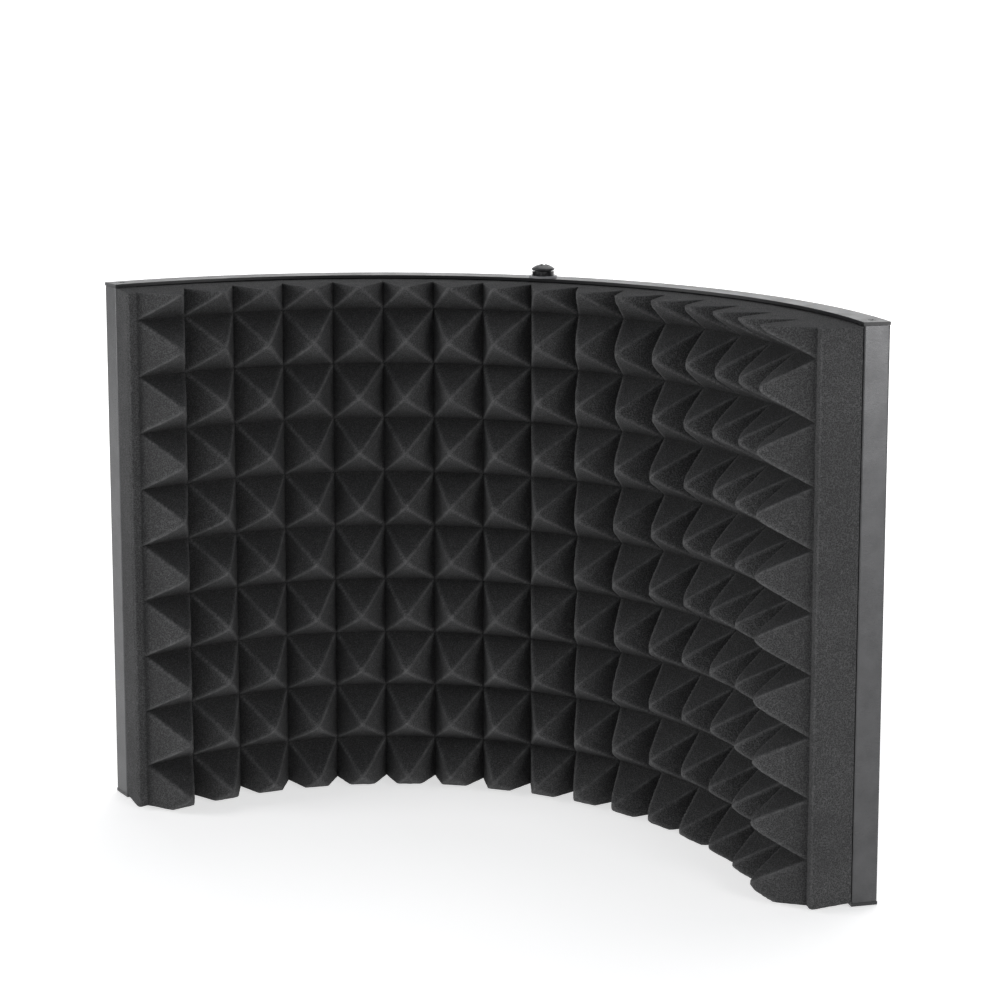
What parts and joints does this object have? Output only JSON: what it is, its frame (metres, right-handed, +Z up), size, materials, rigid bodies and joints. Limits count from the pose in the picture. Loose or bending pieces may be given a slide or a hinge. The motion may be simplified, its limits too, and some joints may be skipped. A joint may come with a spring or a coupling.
{
  "type": "microphone isolation shield",
  "caption": "Curved microphone isolation shield: pyramid foam in a rimmed perforated metal frame, with a sliding, tilting clamp behind for a threaded microphone stand.",
  "frame": {"origin": "underside of the bottom rim, at the middle of the arc and half way across its band", "axes": "+Z up, +X along the width, +Y out of the back towards the stand clamp; the open side with the foam faces -Y"},
  "size_m": [0.477, 0.239, 0.3284],
  "materials": {
    "frame": "satin black powder coat, fine texture",
    "rail": "black anodised, satin",
    "panel": "black powder coat on perforated steel",
    "black_steel": "black oxide",
    "zinc_steel": "bright zinc plated",
    "foam": null,
    "cap_washer": "satin grey",
    "cap_collar": "gloss black",
    "cap_screw": "black oxide, slightly glossy",
    "bar": "black powder coat",
    "spacer": "dark anodised",
    "bracket": "black powder coat on zinc casting",
    "nylon": "black nylon",
    "knob": "moulded black nylon, fine grain",
    "brass": "turned brass"
  },
  "bodies": {
    "shield": {"top_rim": "frame", "bottom_rim": "frame", "rail_left": "rail", "rail_right": "rail", "back_panel": "panel", "top_rim_screws": "black_steel", "bottom_rim_screws": "black_steel", "top_rivets": "black_steel", "bottom_rivets": "black_steel", "corner_block_top_left": "zinc_steel", "corner_block_top_right": "zinc_steel", "corner_block_bottom_left": "zinc_steel", "corner_block_bottom_right": "zinc_steel", "acoustic_foam": "foam", "centre_post": "zinc_steel", "cap_washer": "cap_washer", "cap_lock_washer": "cap_collar", "cap_screw": "cap_screw", "slotted_bar": "bar", "bar_spacer_lower": "spacer", "bar_spacer_upper": "spacer", "bar_screws": "black_steel"},
    "carriage": {"carriage": "bracket", "clamp_bolt": "zinc_steel", "clamp_washer": "nylon"},
    "clamp_knob": {"clamp_knob": "knob", "clamp_knob_insert": "brass"},
    "tilt_arm": {"tilt_arm": "bracket", "thread_sleeve": "brass", "tilt_bolt": "zinc_steel", "tilt_washer": "nylon", "friction_washers": "nylon"},
    "tilt_knob": {"tilt_knob": "knob", "tilt_knob_insert": "brass"}
  },
  "joints": [
    {"name": "clamp_slide", "type": "slide", "parent": "shield", "child": "carriage", "axis": [0, 0, 1], "range_m": [-0.055, 0.055]},
    {"name": "clamp_knob_turn", "type": "hinge", "parent": "carriage", "child": "clamp_knob", "pos_m": [0, 0.0315, 0.175], "axis": [0, 1, 0], "range_deg": [0, 720]},
    {"name": "arm_tilt", "type": "hinge", "parent": "carriage", "child": "tilt_arm", "pos_m": [0, 0.0453, 0.145], "axis": [1, 0, 0], "range_deg": [-30, 30]},
    {"name": "tilt_knob_turn", "type": "hinge", "parent": "tilt_arm", "child": "tilt_knob", "pos_m": [0.02, 0.0453, 0.145], "axis": [1, 0, 0], "range_deg": [0, 720]}
  ]
}
